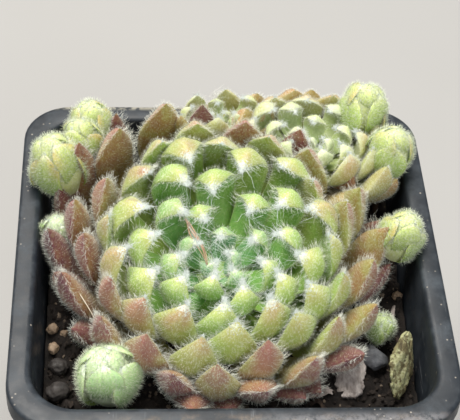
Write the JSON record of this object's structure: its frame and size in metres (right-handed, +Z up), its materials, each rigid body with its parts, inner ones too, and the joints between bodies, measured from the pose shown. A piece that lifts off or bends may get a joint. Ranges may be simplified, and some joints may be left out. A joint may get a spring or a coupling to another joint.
{
  "type": "hens and chicks in a square pot",
  "caption": "Hairy hens-and-chicks succulent: a cupped leaf rosette with smaller offsets round it, growing in a square nursery pot of dark potting mix.",
  "frame": {"origin": "centre of the pot's flat underside", "axes": "+Z up; -Y towards the side that the big rosette leans to; +X to the right seen from there"},
  "size_m": [0.09, 0.09, 0.0945],
  "materials": {
    "pot_plastic": "satin slate-black plastic with dust and light scuffs",
    "potting_mix": "loose near-black composted bark mix with tan grains",
    "hen_leaves": "matt green leaves, mauve-brown outside, with white hairs",
    "second_leaves": "pale fuzzy green leaves with tan tips",
    "chick_leaves": "yellow-green leaves with a white fuzz",
    "bark": "rough grey-brown bark",
    "lichened_bark": "rough bark with yellow-green lichen",
    "slate": "matt dark grey stone",
    "pebble": "matt dark pebble",
    "pumice": "porous tan grain"
  },
  "bodies": {
    "root": {"pot": "pot_plastic", "potting_mix": "potting_mix", "hen_rosette": "hen_leaves", "second_rosette": "second_leaves", "offset_rosette": "second_leaves", "chick_front_left": "chick_leaves", "chick_left": "chick_leaves", "chick_left_low": "chick_leaves", "chick_back_left": "chick_leaves", "chick_back_left_small": "chick_leaves", "chick_back_right": "chick_leaves", "chick_right_back": "chick_leaves", "chick_right": "chick_leaves", "chick_front_right": "chick_leaves", "bark_chip": "bark", "bark_chip_lichened": "lichened_bark", "bark_chip_small": "bark", "bark_splinter": "bark", "slate_stone": "slate", "pebble_front": "pebble", "pebble_back": "pebble", "grain_1": "pumice", "grain_2": "pumice", "grain_3": "pumice", "grain_4": "pumice"}
  },
  "joints": []
}
